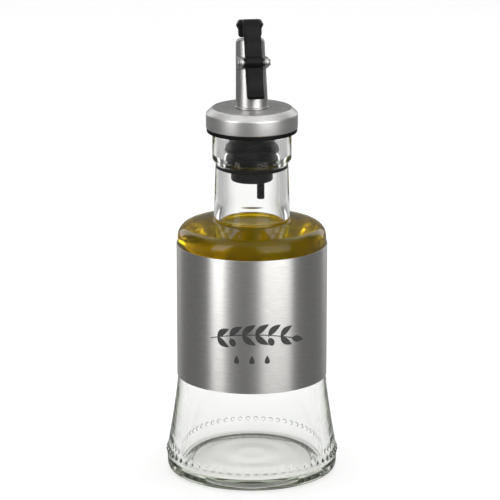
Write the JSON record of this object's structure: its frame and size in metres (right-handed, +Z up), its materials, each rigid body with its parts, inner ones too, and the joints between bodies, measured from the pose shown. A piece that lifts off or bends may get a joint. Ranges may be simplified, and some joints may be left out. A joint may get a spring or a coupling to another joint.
{
  "type": "oil dispenser bottle",
  "caption": "Clear glass oil bottle with a flared foot, a brushed steel sleeve and golden oil, shut by a rubber stopper with a steel cap, a leaning pour spout and a black lever flap.",
  "frame": {"origin": "centre of the base, on the surface that the bottle stands on", "axes": "+Z up along the bottle's axis; the flap's lever and the print on the sleeve face -Y; +X is to the right"},
  "size_m": [0.0728, 0.0728, 0.1932],
  "materials": {
    "clear_glass": "clear soda-lime glass, smooth, slightly wavy",
    "oil": "clear golden olive oil",
    "brushed_sleeve": "fine brushing round the sleeve, satin",
    "satin_cap": "satin, turned",
    "polished_steel": "polished",
    "black_rubber": "matt black moulded rubber",
    "black_plastic": "satin black moulded plastic"
  },
  "bodies": {
    "bottle": {"bottle": "clear_glass", "inner_disc": "clear_glass", "oil": "oil", "sleeve": "brushed_sleeve", "stopper": "black_rubber", "cap": "satin_cap", "spout": "polished_steel", "hinge_pin": "polished_steel"},
    "flap": {"flap": "black_plastic"}
  },
  "joints": [
    {"name": "flap_hinge", "type": "hinge", "parent": "bottle", "child": "flap", "pos_m": [0.00083, -0.00631, 0.17676], "axis": [0.9914, 0.1305, 0], "range_deg": [0, 22]}
  ]
}
